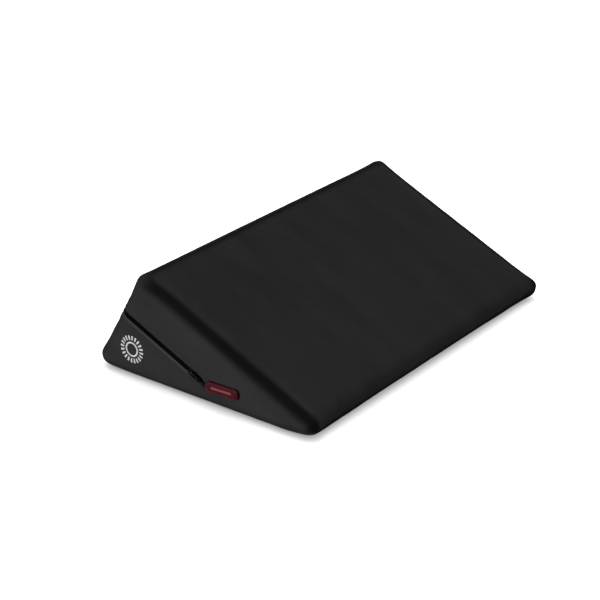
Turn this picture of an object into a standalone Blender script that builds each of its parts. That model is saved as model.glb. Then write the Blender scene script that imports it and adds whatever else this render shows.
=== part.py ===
"""Foam positioning wedge in a zip-off fabric cover.

Frame: X along the width, Y from the thin nose (-Y) to the thick back (+Y), Z up, base on Z = 0.
The side with the zip slider is at -X.
"""
import math

import bmesh
import bpy
from mathutils import Matrix, Vector

# Wedge
WIDTH = 0.610
DEPTH = 0.412
HEIGHT = 0.178
APEX_SETBACK = 0.100
NOSE_HEIGHT = 0.036
EDGE_RADIUS = 0.018
TOP_CROWN = 0.004
TOP_CROWN_REACH = 0.070
BACK_CROWN = 0.003
BACK_CROWN_REACH = 0.060

# Pull of the filled cover at each pair of corners: in from the side, back and up
TOE_PULL = (0.0015, -0.0040, 0.0090)
BROW_PULL = (-0.0020, -0.0100, -0.0041)
APEX_PULL = (-0.0040, 0.0030, -0.0030)
HEEL_PULL = (-0.0008, 0.0038, 0.0040)
NOSE_REACH = 0.055
BACK_REACH = 0.075

# Cover
FABRIC = 0.0020
GAP = 0.0003
SEAM_GAP = 0.0004

# Zip
ZIP_BELOW_TOP = 0.079
ZIP_FRONT = 0.1836
ZIP_SLOT = 0.0045
TAPE_FACE = 0.0023
TAPE_BACK = 0.0030
TAPE_EDGE = 0.0009
TAPE_HEM = 0.0140
COIL_FACE = 0.0004
COIL_BACK = 0.0020
COIL_INNER = 0.0007
COIL_OUTER = 0.0030
COIL_START = 0.0060
GROOVE_WIDE = 0.0155
GROOVE_NARROW = 0.0062
GROOVE_STEP = 0.0033
GROOVE_FLOOR = 0.0056
STOP_LENGTH = 0.0043

# Slider and pull
SLIDER_LENGTH = 0.0150
SLIDER_AT = 0.0134
PLATE_TOP = 0.0019
PLATE_UNDER = 0.0005
PLATE_HALF = 0.0056
FLANGE_OUT = 0.0041
FLANGE_IN = 0.0033
FLANGE_DOWN = -0.0019
FLOOR_TOP = -0.0034
FLOOR_UNDER = -0.0046
BAR_HEIGHT = 0.0037
BAR_RADIUS = 0.00075
BRIDGE_HALF = 0.0020
TAB_HALF = 0.0039
TAB_ARM_IN = 0.0024
TAB_WINDOW = 0.0064
TAB_HOLE = 0.0146
EYE_RADIUS = 0.0022
LINK_SPAN = 0.0110
LINK_BEND = 0.0019
LINK_WIRE = 0.0009
GRIP_LENGTH = 0.0600
GRIP_HALF = 0.0085
GRIP_THICK = 0.0023
GRIP_START = 0.0026
GRIP_CORNER = 0.0060
GRIP_RISE = math.radians(26.5)
INLAY_LENGTH = 0.0380
INLAY_HALF = 0.0021
INLAY_DEEP = 0.0008

# Profile corners in (y, z), from the toe up over the brow and the apex to the heel
TOE = Vector((-DEPTH / 2, 0.0))
BROW = Vector((-DEPTH / 2, NOSE_HEIGHT))
APEX = Vector((DEPTH / 2 - APEX_SETBACK, HEIGHT))
HEEL = Vector((DEPTH / 2, 0.0))
CORNERS = [TOE, BROW, APEX, HEEL]
FLAT_STEPS = [1, 9, 6, 7]
ARC_STEPS = [5, 3, 5, 5]
SIDE_STEPS = 5
WIDTH_STEPS = 12
CAP_RINGS = (0.75, 0.5, 0.25)


def face_normal(start, end):
    """Outward normal in (y, z) of the profile face that runs from start to end."""
    run = (end - start).normalized()
    return Vector((-run.y, run.x))


NOSE_N = face_normal(TOE, BROW)
SLOPE_N = face_normal(BROW, APEX)
BACK_N = face_normal(APEX, HEEL)
BASE_N = face_normal(HEEL, TOE)
NORMALS = [NOSE_N, SLOPE_N, BACK_N, BASE_N]


def arc_centre(index):
    """Centre of the rounding at a profile corner."""
    before = NORMALS[index - 1]
    after = NORMALS[index]
    return CORNERS[index] - (before + after) * (EDGE_RADIUS / (1 + before.dot(after)))


CENTRES = [arc_centre(i) for i in range(4)]


def deep(normal):
    """A (y, z) direction as a direction in space."""
    return Vector((0.0, normal.x, normal.y))


ACROSS = Vector((1.0, 0.0, 0.0))
UP_SLOPE = deep((APEX - BROW).normalized())
TOP_OUT = deep(SLOPE_N)
BACK_OUT = deep(BACK_N)
UP_BACK = deep((APEX - HEEL).normalized())
ZIP_ORIGIN = deep(BROW) - TOP_OUT * ZIP_BELOW_TOP


def bow(value):
    """Crown shape: one in the middle, nothing at the ends."""
    return max(0.0, 1.0 - value * value)


def soften(point):
    """Crowned faces and pulled corners of the filled cover."""
    moved = point.copy()
    side = bow(point.x / (WIDTH / 2 - EDGE_RADIUS))
    below = (deep(BROW) - point).dot(TOP_OUT)
    along = (point - deep(BROW)).dot(UP_SLOPE) / (APEX - BROW).length
    fade = max(0.0, 1 - max(0.0, below) / TOP_CROWN_REACH)
    moved += TOP_OUT * TOP_CROWN * side * bow(2 * along - 1) * fade
    behind = (deep(HEEL) - point).dot(BACK_OUT)
    rise = (point - deep(HEEL)).dot(UP_BACK) / (APEX - HEEL).length
    fade = max(0.0, 1 - max(0.0, behind) / BACK_CROWN_REACH)
    moved += BACK_OUT * BACK_CROWN * side * bow(2 * rise - 1) * fade
    pulls = (
        (TOE, TOE_PULL, NOSE_REACH), (BROW, BROW_PULL, NOSE_REACH),
        (APEX, APEX_PULL, BACK_REACH), (HEEL, HEEL_PULL, BACK_REACH),
    )
    for corner, pull, reach in pulls:
        for hand in (-1, 1):
            spot = Vector((hand * WIDTH / 2, corner.x, corner.y))
            near = max(0.0, 1 - (point - spot).length / reach) ** 2
            moved += Vector((-hand * pull[0], pull[1], pull[2])) * near
    return moved


def profile_ring(radius, x):
    """One closed ring of the wedge: the centre polygon grown by a radius, at a width station."""
    ring = []
    for i in range(4):
        start = math.atan2(NORMALS[i - 1].y, NORMALS[i - 1].x)
        turn = -NORMALS[i - 1].angle(NORMALS[i])
        arc = []
        for k in range(ARC_STEPS[i] + 1):
            angle = start + turn * k / ARC_STEPS[i]
            arc.append(CENTRES[i] + Vector((math.cos(angle), math.sin(angle))) * radius)
        ring += arc
        nxt = (i + 1) % 4
        first = CENTRES[nxt] + NORMALS[i] * radius
        for k in range(1, FLAT_STEPS[i]):
            ring.append(arc[-1].lerp(first, k / FLAT_STEPS[i]))
    return [Vector((x, p.x, p.y)) for p in ring]


def wedge_rings(inset):
    """Rings from the middle of one side, across the width, to the middle of the other."""
    radius = EDGE_RADIUS - inset
    core = WIDTH / 2 - EDGE_RADIUS
    half = []
    flat = profile_ring(0.0, core + radius)
    middle = sum(flat, Vector()) / len(flat)
    for scale in reversed(CAP_RINGS):
        half.append([middle.lerp(p, scale) for p in flat])
    for k in range(SIDE_STEPS, 0, -1):
        lean = math.radians(90) * k / SIDE_STEPS
        half.append(profile_ring(radius * math.cos(lean), core + radius * math.sin(lean)))
    left = [[Vector((-p.x, p.y, p.z)) for p in ring] for ring in half]
    span = [profile_ring(radius, core * (2 * k / WIDTH_STEPS - 1)) for k in range(WIDTH_STEPS + 1)]
    return left + span + half[::-1]


def welded(bm, rings, closed_ends=True):
    """Skin a list of rings; points that fall together become one vertex."""
    found = {}

    def vertex(point):
        key = tuple(round(c, 6) for c in point)
        if key not in found:
            found[key] = bm.verts.new(point)
        return found[key]

    def face(points):
        corners = []
        for point in points:
            v = vertex(point)
            if v not in corners:
                corners.append(v)
        if len(corners) > 2:
            bm.faces.new(corners)

    count = len(rings[0])
    for lower, upper in zip(rings, rings[1:]):
        for k in range(count):
            j = (k + 1) % count
            face([lower[k], lower[j], upper[j], upper[k]])
    if closed_ends:
        face(rings[0][::-1])
        face(rings[-1])


def wedge_surface(bm, inset):
    """The softened wedge skin at a depth under the outer face of the cover."""
    welded(bm, [[soften(p) for p in ring] for ring in wedge_rings(inset)])


def material(name, colour, roughness, metallic=0.0):
    """One surface finish."""
    made = bpy.data.materials.new(name)
    made.use_nodes = True
    shader = made.node_tree.nodes["Principled BSDF"]
    shader.inputs["Base Color"].default_value = (*colour, 1.0)
    shader.inputs["Roughness"].default_value = roughness
    shader.inputs["Metallic"].default_value = metallic
    return made


def stored(name, bm, finish=None, smooth=False, hollow=False):
    """Turn a bmesh into a named object; pieces with no finish are cutting guides."""
    if not hollow:
        bmesh.ops.recalc_face_normals(bm, faces=bm.faces[:])
    mesh = bpy.data.meshes.new(name)
    bm.to_mesh(mesh)
    bm.free()
    item = bpy.data.objects.new(name, mesh)
    bpy.context.scene.collection.objects.link(item)
    if finish is None:
        item.hide_render = True
        item.display_type = "WIRE"
    else:
        mesh.materials.append(finish)
    if smooth:
        mesh.polygons.foreach_set("use_smooth", [True] * len(mesh.polygons))
    return item


def boolean(item, guide, operation):
    """Cut or join a guide on an object."""
    mod = item.modifiers.new(guide.name, "BOOLEAN")
    mod.operation = operation
    mod.solver = "EXACT"
    mod.object = guide


def box(bm, low, high):
    """Box between two opposite corners."""
    made = bmesh.ops.create_cube(bm, size=1.0)["verts"]
    for v in made:
        v.co = Vector([low[i] + (v.co[i] + 0.5) * (high[i] - low[i]) for i in range(3)])
    return made


def prism(bm, outline, low, high, axis=2):
    """Outline in a plane, carried between two heights along the axis left over."""
    ends = []
    for height in (low, high):
        ring = []
        for a, b in outline:
            spot = [a, b]
            spot.insert(axis, height)
            ring.append(bm.verts.new(spot))
        ends.append(ring)
    bm.faces.new(ends[0])
    bm.faces.new(ends[1])
    count = len(outline)
    for k in range(count):
        j = (k + 1) % count
        bm.faces.new((ends[0][k], ends[0][j], ends[1][j], ends[1][k]))


def mirrored(outline):
    """The other half of an outline that is alike on both sides of its second axis."""
    return [(-a, b) for a, b in reversed(outline)]


def rounded_outline(x0, x1, y0, y1, radius, steps=4):
    """Rectangle outline with rounded corners."""
    points = []
    spots = ((x1, y1, 0), (x0, y1, 90), (x0, y0, 180), (x1, y0, 270))
    for x, y, start in spots:
        cx = x - math.copysign(radius, x - (x0 + x1) / 2)
        cy = y - math.copysign(radius, y - (y0 + y1) / 2)
        for k in range(steps + 1):
            angle = math.radians(start + 90 * k / steps)
            points.append((cx + radius * math.cos(angle), cy + radius * math.sin(angle)))
    return points


def cylinder(bm, radius, start, end, sides=16):
    """Round bar between two points."""
    start = Vector(start)
    end = Vector(end)
    turn = (end - start).to_track_quat("Z", "Y").to_matrix().to_4x4()
    place = Matrix.Translation((start + end) / 2) @ turn
    bmesh.ops.create_cone(
        bm, cap_ends=True, segments=sides, radius1=radius, radius2=radius,
        depth=(end - start).length, matrix=place)


def soft_edges(bm, width, segments=2, sharp=50):
    """Round every edge of a plain block that is sharper than an angle."""
    bmesh.ops.recalc_face_normals(bm, faces=bm.faces[:])
    edges = [e for e in bm.edges if len(e.link_faces) == 2 and e.calc_face_angle() > math.radians(sharp)]
    bmesh.ops.bevel(
        bm, geom=edges, offset=width, segments=segments, profile=0.5, affect="EDGES", clamp_overlap=True)


# Cover panels
def zone(name, out, edge_points, others, grow):
    """Block that holds the part of the cover nearest to one face, bounded half way round each edge."""
    bm = bmesh.new()
    bmesh.ops.create_cube(bm, size=1.6)
    sides = [(other - out).normalized() for other in others]
    planes = [(spot + away * grow, away) for spot, away in zip(edge_points, sides)]
    planes.append((edge_points[0] + out * EDGE_RADIUS * 0.2, -out))
    for spot, away in planes:
        cut = bmesh.ops.bisect_plane(
            bm, geom=bm.verts[:] + bm.edges[:] + bm.faces[:], plane_co=spot, plane_no=away, clear_outer=True)
        rim = [e for e in cut["geom_cut"] if isinstance(e, bmesh.types.BMEdge)]
        bmesh.ops.contextual_create(bm, geom=rim)
    return stored(name, bm)


def face_zone(name, face, grow):
    """Zone of a named face of the wedge."""
    core = WIDTH / 2 - EDGE_RADIUS
    left = Vector((-core, *CENTRES[2]))
    right = Vector((core, *CENTRES[2]))
    if face in ("left", "right"):
        hand = -1 if face == "left" else 1
        spots = [Vector((hand * core, *c)) for c in CENTRES]
        return zone(name, ACROSS * hand, spots, [deep(n) for n in NORMALS], grow)
    if face == "back":
        spots = [left, right, left, Vector((0, *CENTRES[3]))]
        return zone(name, BACK_OUT, spots, [-ACROSS, ACROSS, TOP_OUT, deep(BASE_N)], grow)
    low = Vector((-core, *CENTRES[3]))
    spots = [low, Vector((core, *CENTRES[3])), low, Vector((0, *CENTRES[0]))]
    return zone(name, deep(BASE_N), spots, [-ACROSS, ACROSS, BACK_OUT, deep(NOSE_N)], grow)


def zip_point(along, rise):
    """Point over the zip plane: distance up the slope from the brow, and height square to it."""
    spot = ZIP_ORIGIN + UP_SLOPE * along + TOP_OUT * rise
    return (spot.y, spot.z)


def zip_half(name, hand):
    """Block above or below the zip: a seam ahead of its front end, an open slot behind it."""
    steps = [
        (-0.6, SEAM_GAP / 2), (ZIP_FRONT, SEAM_GAP / 2), (ZIP_FRONT, ZIP_SLOT),
        (0.7, ZIP_SLOT), (0.7, 0.5), (-0.6, 0.5)]
    bm = bmesh.new()
    prism(bm, [zip_point(a, hand * r) for a, r in steps], -0.5, 0.5, axis=0)
    return stored(name, bm)


def panel(name, finish, cuts):
    """One piece of the cover, cut from the whole skin."""
    bm = bmesh.new()
    wedge_surface(bm, 0.0)
    outer = set(bm.faces)
    wedge_surface(bm, FABRIC)
    bmesh.ops.recalc_face_normals(bm, faces=bm.faces[:])
    bmesh.ops.reverse_faces(bm, faces=[f for f in bm.faces if f not in outer])
    item = stored(name, bm, finish, hollow=True)
    for guide, operation in cuts:
        boolean(item, guide, operation)
    return item


# Zip chain
def zip_path(depth, front):
    """Route of the zip at a depth under the cover: up the left side, across the back, down the right."""
    core = WIDTH / 2 - EDGE_RADIUS
    radius = EDGE_RADIUS - depth
    top = Vector((-core, *CENTRES[2]))
    pivot = top - UP_BACK * ((top - ZIP_ORIGIN).dot(TOP_OUT) / UP_BACK.dot(TOP_OUT))
    start = ZIP_ORIGIN + UP_SLOPE * front
    half = [Vector((-core - radius, start.y, start.z))]
    for k in range(7):
        lean = math.radians(90) * k / 6
        spot = pivot - ACROSS * radius * math.cos(lean) + BACK_OUT * radius * math.sin(lean)
        half.append(spot - UP_BACK * ((spot - ZIP_ORIGIN).dot(TOP_OUT) / UP_BACK.dot(TOP_OUT)))
    corner = half[-1]
    across = [Vector((corner.x * (1 - 2 * k / 12), corner.y, corner.z)) for k in range(1, 12)]
    return half + across + [Vector((-p.x, p.y, p.z)) for p in reversed(half)]


def zip_sweep(bm, section, front):
    """Carry a section of (depth, rise) pairs along the whole route."""
    tracks = []
    for depth, rise in section:
        tracks.append([soften(p + UP_BACK * rise) for p in zip_path(depth, front)])
    welded(bm, [list(ring) for ring in zip(*tracks)])


def strip(name, finish, section, front):
    """A ribbon or bead of the zip as one object."""
    bm = bmesh.new()
    zip_sweep(bm, section, front)
    return stored(name, bm, finish)


def bead(hand):
    """Half-round section of one row of the zip."""
    middle = (COIL_INNER + COIL_OUTER) / 2
    reach = (COIL_OUTER - COIL_INNER) / 2
    points = [(COIL_BACK, hand * COIL_INNER), (COIL_BACK, hand * COIL_OUTER)]
    for k in range(5):
        angle = math.radians(20 + 35 * k)
        rise = middle + reach * math.cos(angle)
        depth = COIL_BACK - 0.0004 - (COIL_BACK - COIL_FACE - 0.0004) * math.sin(angle)
        points.append((depth, hand * rise))
    return points


# Slider frame: u down the zip towards its front end, v across it upwards, w out of the side
SLIDER_SPOT = ZIP_ORIGIN + UP_SLOPE * (ZIP_FRONT + SLIDER_AT) - ACROSS * (WIDTH / 2)
SLIDER_FRAME = Matrix((
    (*(-UP_SLOPE), 0.0), (*TOP_OUT, 0.0), (*(-ACROSS), 0.0), (0.0, 0.0, 0.0, 1.0))).transposed()


def seat(item, spot, turn=0.0):
    """Place an object built in slider directions, turned about the way out of the side."""
    item.matrix_world = (
        Matrix.Translation(SLIDER_SPOT + SLIDER_FRAME.to_3x3() @ Vector(spot))
        @ SLIDER_FRAME @ Matrix.Rotation(turn, 4, "Z"))
    return item


def slider_body(finish):
    """Channelled body: upper plate with two flanges, centre web and lower plate."""
    half = SLIDER_LENGTH / 2
    flank = [
        (PLATE_HALF, PLATE_TOP), (PLATE_HALF, PLATE_UNDER), (FLANGE_OUT, PLATE_UNDER),
        (FLANGE_OUT, FLANGE_DOWN), (FLANGE_IN, FLANGE_DOWN), (FLANGE_IN, 0.0)]
    section = flank + mirrored(flank)
    bm = bmesh.new()
    prism(bm, section, -half, half, axis=0)
    item = stored("slider_body", bm, finish)
    bm = bmesh.new()
    shoulder = [
        (-0.0034, -half), (-0.0044, -half + 0.0010), (-0.0047, 0.0010), (-0.0056, 0.0040),
        (-0.0054, half - 0.0012), (-0.0042, half)]
    prism(bm, [(u, v) for v, u in shoulder + mirrored(shoulder)], -0.02, 0.02)
    trim = stored("slider_outline", bm)
    bm = bmesh.new()
    web = [
        (0.0012, 0.0), (0.0024, -0.0004), (0.0058, -0.0004),
        (0.0068, 0.0), (0.0058, 0.0004), (0.0024, 0.0004)]
    prism(bm, web, FLOOR_TOP - 0.0005, 0.0006)
    post = stored("slider_web", bm)
    bm = bmesh.new()
    prism(bm, rounded_outline(-half, half, -FLANGE_OUT, FLANGE_OUT, 0.0020), FLOOR_UNDER, FLOOR_TOP)
    floor = stored("slider_floor", bm)
    bm = bmesh.new()
    box(bm, (-0.0034, -0.0007, -0.004), (-0.0018, 0.0007, 0.004))
    slot = stored("slider_pawl_slot", bm)
    boolean(item, trim, "INTERSECT")
    boolean(item, slot, "DIFFERENCE")
    boolean(item, post, "UNION")
    boolean(item, floor, "UNION")
    for piece in (item, trim, post, floor, slot):
        seat(piece, (0, 0, 0))
    return item


def slider_bridge(finish):
    """Arched cap over the pull's hinge bar, standing on the upper plate."""
    outer = [(-0.0057, 0.0022), (-0.0053, 0.0042), (-0.0041, 0.0054), (-0.0026, 0.0058)]
    inner = [(0.0046, 0.0022), (0.0043, 0.0038), (0.0036, 0.0045), (0.0024, 0.0047)]
    bm = bmesh.new()
    prism(bm, outer + mirrored(outer) + inner + mirrored(inner), -BRIDGE_HALF, BRIDGE_HALF, axis=1)
    return seat(stored("slider_bridge", bm, finish), (0, 0, 0))


def lock_spring(finish):
    """Flat spring under the bridge with the pawl that reaches between the two zip rows."""
    leaf = [
        (-0.0042, 0.0022), (-0.0032, 0.0022), (-0.0030, -0.0008), (-0.0023, -0.0008),
        (-0.0022, 0.0022), (0.0040, 0.0022), (0.0040, 0.0026), (-0.0042, 0.0026)]
    bm = bmesh.new()
    prism(bm, leaf, -0.00035, 0.00035, axis=1)
    item = stored("lock_spring", bm, finish)
    bm = bmesh.new()
    box(bm, (-0.0041, -0.0013, 0.00225), (0.0039, 0.0013, 0.00255))
    blade = stored("lock_spring_blade", bm)
    boolean(item, blade, "UNION")
    seat(blade, (0, 0, 0))
    return seat(item, (0, 0, 0))


def pull_tab(finish):
    """Flat tab: hinge bar between two arms, window for the bridge, round eye at the free end."""
    waist = TAB_HALF - 0.0006
    flank = [
        (TAB_ARM_IN - 0.0006, TAB_WINDOW), (TAB_ARM_IN, TAB_WINDOW - 0.0006), (TAB_ARM_IN, -BAR_RADIUS),
        (TAB_HALF - 0.0005, -BAR_RADIUS), (TAB_HALF, -BAR_RADIUS + 0.0005), (TAB_HALF, TAB_WINDOW),
        (waist, TAB_WINDOW + 0.0020), (waist, TAB_HOLE - 0.0020)]
    for k in range(5):
        angle = math.radians(70 - 17.5 * k)
        flank.append((0.0036 * math.sin(angle), TAB_HOLE + 0.0036 * math.cos(angle)))
    bm = bmesh.new()
    prism(bm, [(u, v) for v, u in flank + mirrored(flank[:-1])], -BAR_RADIUS, BAR_RADIUS)
    soft_edges(bm, 0.0002, 1, 60)
    item = stored("pull_tab", bm, finish)
    bm = bmesh.new()
    cylinder(bm, BAR_RADIUS * 0.98, (0, -TAB_ARM_IN - 0.0006, 0), (0, TAB_ARM_IN + 0.0006, 0), 12)
    bar = stored("pull_tab_bar", bm)
    bm = bmesh.new()
    cylinder(bm, EYE_RADIUS, (TAB_HOLE, 0, -0.004), (TAB_HOLE, 0, 0.004), 20)
    eye = stored("pull_tab_eye", bm)
    boolean(item, bar, "UNION")
    boolean(item, eye, "DIFFERENCE")
    for piece in (item, bar, eye):
        seat(piece, (0, 0, BAR_HEIGHT))
    return item


def pull_link(finish):
    """Oval wire link through the tab's eye and the grip's eye."""
    track = []
    for centre, start in ((LINK_SPAN - LINK_BEND, -90), (LINK_BEND, 90)):
        for k in range(7):
            angle = math.radians(start + 180 * k / 6)
            track.append((centre + LINK_BEND * math.cos(angle), LINK_BEND * math.sin(angle)))
    bm = bmesh.new()
    count = len(track)
    rings = []
    for i in range(count):
        ahead = Vector(track[(i + 1) % count]) - Vector(track[i - 1])
        out = Vector((ahead.y, -ahead.x)).normalized()
        ring = []
        for k in range(8):
            angle = math.radians(45 * k)
            reach = LINK_WIRE * math.cos(angle)
            ring.append(bm.verts.new((
                track[i][0] + out.x * reach, LINK_WIRE * math.sin(angle), track[i][1] + out.y * reach)))
        rings.append(ring)
    for i in range(count):
        near = rings[i]
        far = rings[(i + 1) % count]
        for k in range(8):
            j = (k + 1) % 8
            bm.faces.new((near[k], near[j], far[j], far[k]))
    return seat(stored("pull_link", bm, finish, smooth=True), (TAB_HOLE, 0, BAR_HEIGHT))


def pull_grip(finish):
    """Moulded grip: thick rounded bar with a thin eyed lug, and a recess along its outer face."""
    end = GRIP_START + GRIP_LENGTH
    bm = bmesh.new()
    outline = rounded_outline(GRIP_START, end, -GRIP_HALF, GRIP_HALF, GRIP_CORNER, 5)
    prism(bm, outline, -GRIP_THICK, GRIP_THICK)
    soft_edges(bm, 0.0012, 2, 50)
    item = stored("pull_grip", bm, finish)
    bm = bmesh.new()
    outline = rounded_outline(-0.0035, GRIP_START + 0.004, -0.0036, 0.0036, 0.0030)
    prism(bm, outline, -BAR_RADIUS, BAR_RADIUS)
    lug = stored("pull_grip_lug", bm)
    bm = bmesh.new()
    cylinder(bm, EYE_RADIUS, (0, 0, -0.004), (0, 0, 0.004), 20)
    eye = stored("pull_grip_eye", bm)
    middle = GRIP_START + GRIP_LENGTH / 2
    bm = bmesh.new()
    reach = INLAY_LENGTH / 2 + GAP
    rise = INLAY_HALF + GAP
    outline = rounded_outline(middle - reach, middle + reach, -rise, rise, rise * 0.8)
    prism(bm, outline, GRIP_THICK - INLAY_DEEP, 0.006)
    recess = stored("pull_grip_recess", bm)
    boolean(item, lug, "UNION")
    boolean(item, eye, "DIFFERENCE")
    boolean(item, recess, "DIFFERENCE")
    for piece in (item, lug, eye, recess):
        seat(piece, (TAB_HOLE + LINK_SPAN, 0, BAR_HEIGHT), GRIP_RISE)
    return item


def grip_inlay(finish):
    """Plain bar of the second moulding colour, seated in the grip's recess."""
    middle = GRIP_START + GRIP_LENGTH / 2
    reach = INLAY_LENGTH / 2
    bm = bmesh.new()
    outline = rounded_outline(middle - reach, middle + reach, -INLAY_HALF, INLAY_HALF, INLAY_HALF * 0.8)
    prism(bm, outline, GRIP_THICK - INLAY_DEEP + GAP, GRIP_THICK + 0.0004)
    return seat(stored("grip_inlay", bm, finish), (TAB_HOLE + LINK_SPAN, 0, BAR_HEIGHT), GRIP_RISE)


def stop(name, finish, hand, low, high):
    """Pressed metal stop at a front end of the zip, over the tape."""
    start = ZIP_FRONT + 0.0012
    bm = bmesh.new()
    centre = ZIP_ORIGIN + UP_SLOPE * (start + STOP_LENGTH / 2)
    box(bm, (-STOP_LENGTH / 2, low, -0.0020), (STOP_LENGTH / 2, high, 0.0003))
    soft_edges(bm, 0.0004, 1, 60)
    item = stored(name, bm, finish)
    frame = SLIDER_FRAME.to_3x3()
    if hand > 0:
        frame = Matrix((-UP_SLOPE, -TOP_OUT, ACROSS)).transposed()
    item.matrix_world = Matrix.Translation(centre + ACROSS * hand * WIDTH / 2) @ frame.to_4x4()
    return item


def main():
    for item in list(bpy.data.objects):
        bpy.data.objects.remove(item, do_unlink=True)

    foam = material("open_cell_foam", (0.62, 0.60, 0.52), 0.95)
    cover = material("black_microfibre", (0.020, 0.020, 0.021), 0.90)
    base_cloth = material("black_base_cloth", (0.016, 0.016, 0.017), 0.85)
    tape = material("black_zip_tape", (0.008, 0.008, 0.009), 0.85)
    coil = material("black_zip_coil", (0.010, 0.010, 0.011), 0.45)
    enamel = material("black_enamelled_zinc", (0.012, 0.012, 0.013), 0.35, 0.6)
    steel = material("spring_steel", (0.45, 0.45, 0.46), 0.35, 1.0)
    rubber = material("red_moulded_rubber", (0.22, 0.008, 0.018), 0.55)
    pale = material("pale_inlay_rubber", (0.55, 0.38, 0.38), 0.60)

    half = SEAM_GAP / 2
    inside = {face: face_zone(face + "_zone", face, -half) for face in ("left", "right", "back", "base")}
    outside = {face: face_zone(face + "_clear", face, half) for face in ("left", "right", "back", "base")}
    above = zip_half("above_zip", 1)
    below = zip_half("below_zip", -1)

    panel("top_panel", cover, [(outside[face], "DIFFERENCE") for face in ("left", "right", "back", "base")])
    panel("base_panel", base_cloth, [(inside["base"], "INTERSECT")])
    for face in ("left", "right", "back"):
        panel(face + "_upper_panel", cover, [(inside[face], "INTERSECT"), (above, "INTERSECT")])
        panel(face + "_lower_panel", cover, [(inside[face], "INTERSECT"), (below, "INTERSECT")])

    bm = bmesh.new()
    wedge_surface(bm, FABRIC + GAP)
    core = stored("foam_core", bm, foam)
    flank = [
        (0.0010, GROOVE_WIDE), (GROOVE_STEP, GROOVE_WIDE),
        (GROOVE_STEP, GROOVE_NARROW), (GROOVE_FLOOR, GROOVE_NARROW)]
    groove = flank + [(depth, -rise) for depth, rise in reversed(flank)]
    bm = bmesh.new()
    zip_sweep(bm, groove, ZIP_FRONT - 0.0020)
    boolean(core, stored("zip_groove", bm), "DIFFERENCE")

    for side, hand in (("upper", 1), ("lower", -1)):
        ribbon = [
            (TAPE_FACE, hand * TAPE_EDGE), (TAPE_FACE, hand * TAPE_HEM),
            (TAPE_BACK, hand * TAPE_HEM), (TAPE_BACK, hand * TAPE_EDGE)]
        strip("zip_tape_" + side, tape, ribbon, ZIP_FRONT)
        strip("zip_coil_" + side, coil, bead(hand), ZIP_FRONT + COIL_START)
    stop("zip_top_stop_upper", enamel, -1, 0.0007, 0.0032)
    stop("zip_top_stop_lower", enamel, -1, -0.0032, -0.0007)
    stop("zip_bottom_stop", enamel, 1, -0.0032, 0.0032)

    slider_body(enamel)
    slider_bridge(enamel)
    lock_spring(steel)
    pull_tab(enamel)
    pull_link(enamel)
    pull_grip(rubber)
    grip_inlay(pale)


main()
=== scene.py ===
import math

import bmesh
import bpy
from mathutils import Matrix, Vector, noise
from mathutils.bvhtree import BVHTree
from mathutils.interpolate import poly_3d_calc


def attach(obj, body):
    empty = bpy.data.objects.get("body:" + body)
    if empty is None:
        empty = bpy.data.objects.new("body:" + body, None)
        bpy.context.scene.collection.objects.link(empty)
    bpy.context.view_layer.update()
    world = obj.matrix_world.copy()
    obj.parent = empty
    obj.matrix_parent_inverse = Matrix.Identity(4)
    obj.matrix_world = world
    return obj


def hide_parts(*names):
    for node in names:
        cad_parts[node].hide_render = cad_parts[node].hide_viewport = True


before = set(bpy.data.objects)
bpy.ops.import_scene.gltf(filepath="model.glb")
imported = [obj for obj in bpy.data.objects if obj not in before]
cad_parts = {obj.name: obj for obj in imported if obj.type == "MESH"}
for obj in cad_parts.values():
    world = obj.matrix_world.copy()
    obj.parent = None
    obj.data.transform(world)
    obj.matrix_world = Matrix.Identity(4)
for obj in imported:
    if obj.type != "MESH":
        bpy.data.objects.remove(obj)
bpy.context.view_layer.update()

MM = 0.001

# Mesh spacing, and how close points are that count as one
PANEL_STEP = 6 * MM
ZIP_STEP = 6 * MM
WELD = 0.01 * MM
CUT_SNAP = 0.02 * MM
AT_FOLD = 0.05 * MM

# The wedge, repeated from the CAD in metres
WIDTH = 0.610
DEPTH = 0.412
HEIGHT = 0.178
APEX_SETBACK = 0.100
NOSE_HEIGHT = 0.036
EDGE_RADIUS = 0.018
TOP_CROWN = 0.004
TOP_CROWN_REACH = 0.070
BACK_CROWN = 0.003
BACK_CROWN_REACH = 0.060

# Where the rounding of a side starts, is sewn and ends, and where its flat face lies, out from the middle
QUARTER = math.radians(90)
CORE = WIDTH / 2 - EDGE_RADIUS
SEAM_LEAN = QUARTER / 2
SEAM_AT = CORE + EDGE_RADIUS * SEAM_LEAN
SEAM_X = CORE + EDGE_RADIUS * math.sin(SEAM_LEAN)
ROUND_END = CORE + EDGE_RADIUS * QUARTER
SIDE_FLAT = WIDTH / 2 - WELD

# The zip's line and the slider's place on it, repeated from the CAD in metres
ZIP_BELOW_TOP = 0.079
ZIP_FRONT = 0.1836
SLIDER_AT = 0.0134

# The slot between the hems, and what lies in it, in metres
ZIP_TRAVEL = 0.1500
SLOT_HALF = 0.0044
SLOT_CLOSED = 0.0025
SLOT_CLOSING = 0.020
SLOT_TAPER = 0.011
HEM_REACH = 0.024
COIL_START = 0.0062
GUARD_PAST = 0.048

# Sewing
SEAM_CLEAR = 0.06 * MM
SEAM_DEEP = 0.55 * MM
SEAM_SOFT = 2.0 * MM
SEAM_TUCK = 2.2 * MM
GATHER_HIGH = 0.35 * MM
GATHER_WIDE = 14 * MM
GATHER_REACH = 9 * MM
HEM_PLUMP = 0.30 * MM
HEM_FOLD_AT = 2.2 * MM
HEM_FOLD_HALF = 2.0 * MM
HEM_TUCK = 1.6 * MM
STITCH_LINE = 5.2 * MM
STITCH_DENT = 0.45 * MM
STITCH_DENT_HALF = 1.1 * MM
STITCH_LONG = 3.0 * MM
STITCH_PITCH = 3.9 * MM
THREAD_HALF = 0.36 * MM


def flat(y, z):
    return Vector((0.0, y, z))


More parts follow.
